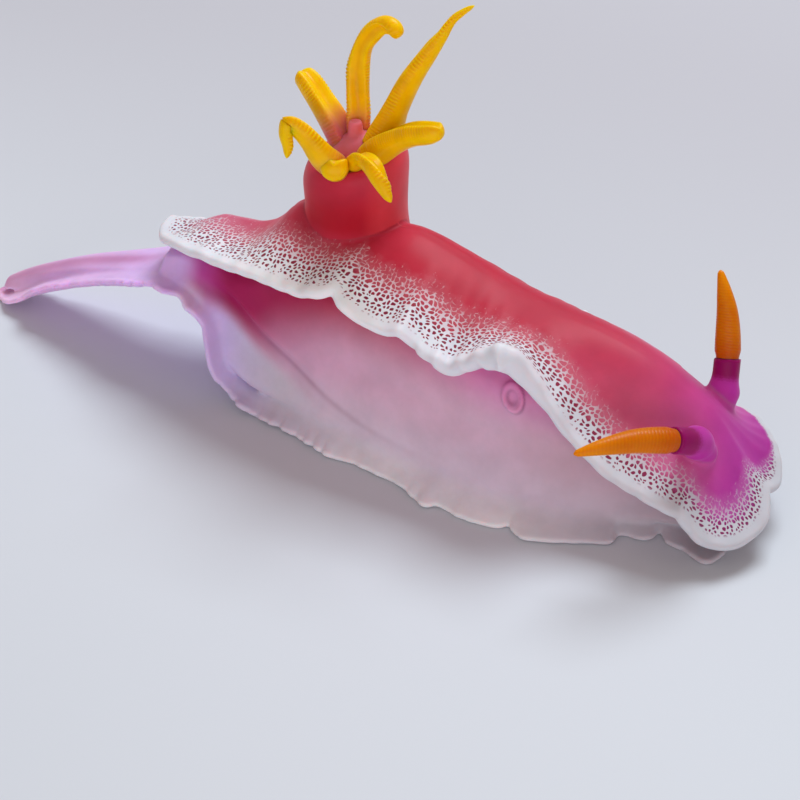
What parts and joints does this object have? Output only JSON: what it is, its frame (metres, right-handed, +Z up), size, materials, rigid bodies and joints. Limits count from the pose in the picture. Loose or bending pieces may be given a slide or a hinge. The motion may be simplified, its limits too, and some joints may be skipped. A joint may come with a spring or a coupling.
{
  "type": "hypselodoris variobranchia",
  "caption": "Crawling chromodorid sea slug with a red, white-netted mantle, a raised gill sheath with yellow gills, orange-clubbed rhinophores and an arched lilac tail.",
  "frame": {"origin": "middle of the sole where it rests on the floor", "axes": "+X toward the head, +Y to the animal's left, +Z up"},
  "size_m": [0.0573, 0.0184, 0.0271],
  "materials": {
    "mantle": "wet red skin with a white net toward the white rim, magenta over the head",
    "flank": "wet skin, rose under the mantle fading to pale lilac above the foot",
    "foot": "wet, half-clear lilac-white skin",
    "tail": "wet lilac skin, pink along the middle",
    "gill": "wet, half-clear yellow-orange gill, pink at its root",
    "stalk": "wet purple skin",
    "club": "wet deep orange, leafed"
  },
  "bodies": {
    "root": {"mantle_rear": "mantle", "mantle_middle": "mantle", "mantle_front": "mantle", "flank_rear": "flank", "flank_middle": "flank", "flank_front": "flank", "head": "flank", "foot_rear": "foot", "foot_middle": "foot", "foot_front": "foot", "tail_root": "tail", "tail_middle": "tail", "tail_tip": "tail", "oral_tentacle_right": "stalk", "oral_tentacle_left": "stalk", "genital_pore": "stalk", "gill_sheath": "mantle", "anal_papilla": "flank", "gill_near": "gill", "gill_1": "gill", "gill_2": "gill", "gill_3": "gill", "gill_4": "gill", "gill_5": "gill", "gill_6": "gill", "rhinophore_stalk_right": "stalk", "rhinophore_stalk_left": "stalk", "rhinophore_club_right": "club", "rhinophore_club_left": "club"}
  },
  "joints": []
}
